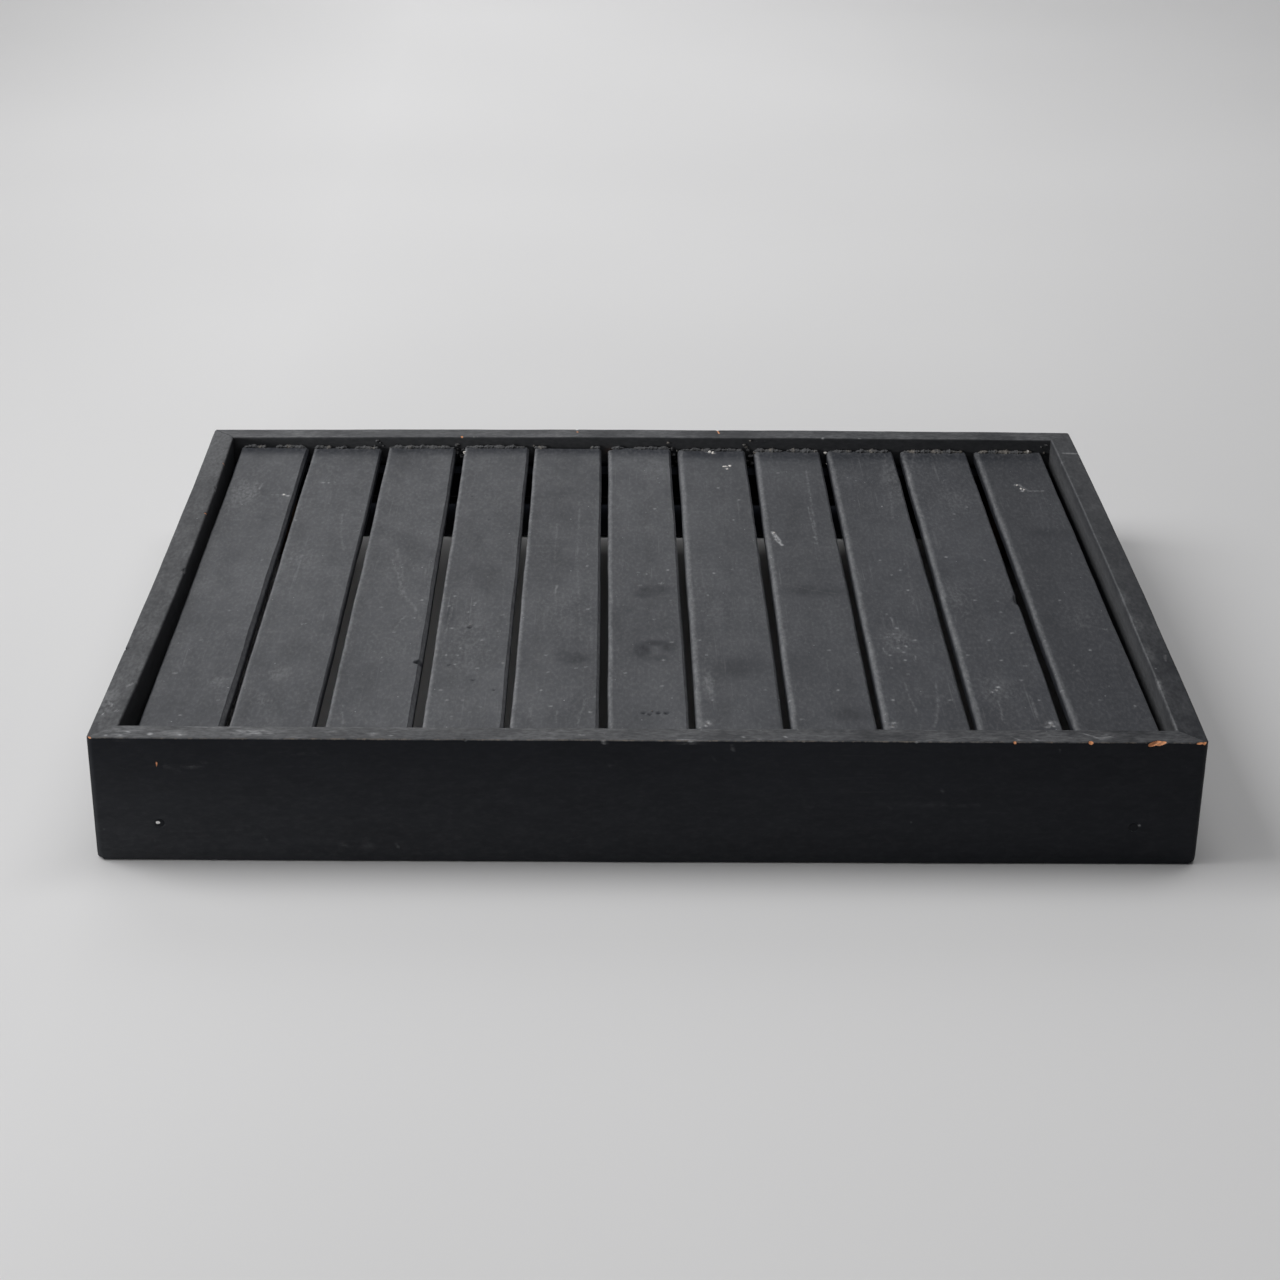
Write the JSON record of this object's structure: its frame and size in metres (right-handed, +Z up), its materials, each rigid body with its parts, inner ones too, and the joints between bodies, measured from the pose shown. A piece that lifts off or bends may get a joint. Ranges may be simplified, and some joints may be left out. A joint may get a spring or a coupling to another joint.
{
  "type": "tea tray",
  "caption": "Rectangular slatted wooden gongfu tea tray: black mitred frame standing on edge, draining deck of slats set below its rim, open underneath.",
  "frame": {"origin": "middle of the tray's footprint, on the surface it stands on", "axes": "+X along the long front and rear boards to the right, +Y from the front board to the rear board, +Z up out of the deck"},
  "size_m": [0.4, 0.315, 0.05],
  "materials": {
    "frame_paint": "satin black paint over wood, worn to the wood along the top arrises",
    "slat_paint": "matt charcoal black paint over wood, scuffed and dusty",
    "ledger_wood": "thin black paint over rough wood",
    "block_wood": "rough wood with thin black overspray",
    "nail_steel": "dull bare steel"
  },
  "bodies": {
    "root": {"front_board": "frame_paint", "rear_board": "frame_paint", "left_board": "frame_paint", "right_board": "frame_paint", "slat_01": "slat_paint", "slat_02": "slat_paint", "slat_03": "slat_paint", "slat_04": "slat_paint", "slat_05": "slat_paint", "slat_06": "slat_paint", "slat_07": "slat_paint", "slat_08": "slat_paint", "slat_09": "slat_paint", "slat_10": "slat_paint", "slat_11": "slat_paint", "front_ledger": "ledger_wood", "rear_ledger": "ledger_wood", "corner_block_front_left": "block_wood", "corner_block_front_right": "block_wood", "corner_block_rear_left": "block_wood", "corner_block_rear_right": "block_wood", "corner_nails": "nail_steel", "ledger_brads": "nail_steel"}
  },
  "joints": []
}
